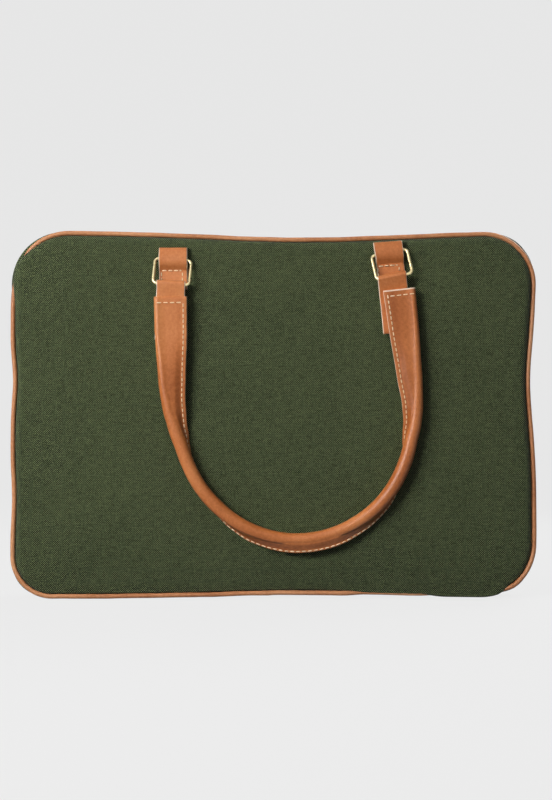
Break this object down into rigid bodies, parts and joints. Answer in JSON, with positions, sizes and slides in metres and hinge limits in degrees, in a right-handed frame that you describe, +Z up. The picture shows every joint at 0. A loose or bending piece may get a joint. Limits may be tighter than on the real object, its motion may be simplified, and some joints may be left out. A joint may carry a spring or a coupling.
{
  "type": "laptop sleeve",
  "caption": "Padded canvas laptop sleeve with rounded corners, leather piping, a zip round its gusset, and leather hand grips on metal rings",
  "frame": {"origin": "centre of the base, on the surface the sleeve stands on", "axes": "+Z up, +X to the right seen from the front, the front panel faces -Y"},
  "size_m": [0.4, 0.0722, 0.2799],
  "materials": {
    "canvas": "matt woven cotton canvas",
    "leather": "smooth tan leather, soft sheen",
    "foam": "soft padding, hidden",
    "lining": "thin matt woven lining",
    "binding": "woven binding tape",
    "cord": "twisted cotton cord, hidden",
    "zip_tape": "fine woven zip tape",
    "zip_teeth": "coil zip, satin",
    "zip_metal": "satin brass",
    "ring_metal": "polished pale brass"
  },
  "bodies": {
    "back_shell": {"back_canvas_panel": "canvas", "back_foam_pad": "foam", "back_lining": "lining", "back_seam_binding": "binding", "back_piping_cover": "leather", "back_piping_cord": "cord", "back_gusset_strip": "canvas", "back_gusset_lining": "lining", "back_zip_tape": "zip_tape", "back_zip_coil": "zip_teeth", "back_anchor_tab_left": "leather", "back_anchor_tab_right": "leather", "bottom_gusset_canvas": "canvas", "bottom_foam_pad": "foam", "bottom_lining": "lining", "zip_end_stop_left": "zip_metal", "zip_end_stop_right": "zip_metal"},
    "front_cover": {"front_canvas_panel": "canvas", "front_foam_pad": "foam", "front_lining": "lining", "front_seam_binding": "binding", "front_piping_cover": "leather", "front_piping_cord": "cord", "front_gusset_strip": "canvas", "front_gusset_lining": "lining", "front_zip_tape": "zip_tape", "front_zip_coil": "zip_teeth", "front_anchor_tab_left": "leather", "front_anchor_tab_right": "leather"},
    "front_ring_left": {"front_ring_left": "ring_metal"},
    "front_ring_right": {"front_ring_right": "ring_metal"},
    "front_handle": {"front_handle_grip": "leather", "front_handle_core": "cord", "front_handle_loop_left": "leather", "front_handle_loop_right": "leather"},
    "back_ring_left": {"back_ring_left": "ring_metal"},
    "back_ring_right": {"back_ring_right": "ring_metal"},
    "back_handle": {"back_handle_grip": "leather", "back_handle_core": "cord", "back_handle_loop_left": "leather", "back_handle_loop_right": "leather"},
    "zip_slider_left": {"zip_slider_left": "zip_metal"},
    "zip_pull_left": {"zip_pull_left": "zip_metal"},
    "zip_slider_right": {"zip_slider_right": "zip_metal"},
    "zip_pull_right": {"zip_pull_right": "zip_metal"}
  },
  "joints": [
    {"name": "cover_hinge", "type": "hinge", "parent": "back_shell", "child": "front_cover", "pos_m": [0, -0.016, 0.0019], "axis": [1, 0, 0], "range_deg": [0, 90], "deforming": ["front_zip_coil", "back_zip_coil"]},
    {"name": "front_ring_left_swing", "type": "hinge", "parent": "front_cover", "child": "front_ring_left", "pos_m": [-0.0757, -0.0248, 0.2571], "axis": [-0.9995, 0, -0.0319], "range_deg": [0, 165], "deforming": ["front_anchor_tab_left", "front_handle_loop_left"]},
    {"name": "front_ring_right_swing", "type": "hinge", "parent": "front_cover", "child": "front_ring_right", "pos_m": [0.0871, -0.0248, 0.2623], "axis": [-0.9995, 0, -0.0319], "range_deg": [0, 165], "deforming": ["front_anchor_tab_right", "front_handle_loop_right"]},
    {"name": "front_handle_swing", "type": "hinge", "parent": "front_ring_left", "child": "front_handle", "pos_m": [-0.07703, -0.03098, 0.23813], "axis": [-0.9995, 0, -0.0331], "range_deg": [0, 45], "deforming": ["front_handle_loop_left", "front_handle_loop_right"]},
    {"name": "back_ring_left_swing", "type": "hinge", "parent": "back_shell", "child": "back_ring_left", "pos_m": [0.0757, 0.0248, 0.2571], "axis": [0.9995, 0, -0.0319], "range_deg": [0, 165], "deforming": ["back_anchor_tab_left", "back_handle_loop_left"]},
    {"name": "back_ring_right_swing", "type": "hinge", "parent": "back_shell", "child": "back_ring_right", "pos_m": [-0.0871, 0.0248, 0.2623], "axis": [0.9995, 0, -0.0319], "range_deg": [0, 165], "deforming": ["back_anchor_tab_right", "back_handle_loop_right"]},
    {"name": "back_handle_swing", "type": "hinge", "parent": "back_ring_left", "child": "back_handle", "pos_m": [0.07703, 0.03098, 0.23813], "axis": [0.9995, 0, -0.0331], "range_deg": [0, 45], "deforming": ["back_handle_loop_left", "back_handle_loop_right"]},
    {"name": "zip_slider_left_travel", "type": "slide", "parent": "back_shell", "child": "zip_slider_left", "axis": [-1, 0, 0], "range_m": [0, 0.14], "deforming": ["front_zip_coil", "back_zip_coil"]},
    {"name": "zip_pull_left_flap", "type": "hinge", "parent": "zip_slider_left", "child": "zip_pull_left", "pos_m": [-0.0072, 0, 0.27345], "axis": [0, 1, 0], "range_deg": [0, 95]},
    {"name": "zip_slider_right_travel", "type": "slide", "parent": "back_shell", "child": "zip_slider_right", "axis": [1, 0, 0], "range_m": [0, 0.14], "deforming": ["front_zip_coil", "back_zip_coil"]},
    {"name": "zip_pull_right_flap", "type": "hinge", "parent": "zip_slider_right", "child": "zip_pull_right", "pos_m": [0.0072, 0, 0.27345], "axis": [0, -1, 0], "range_deg": [0, 95]}
  ],
  "couplings": [
    {"joint": "front_ring_right_swing", "follows": "front_ring_left_swing", "ratio": 1},
    {"joint": "back_ring_right_swing", "follows": "back_ring_left_swing", "ratio": 1}
  ]
}
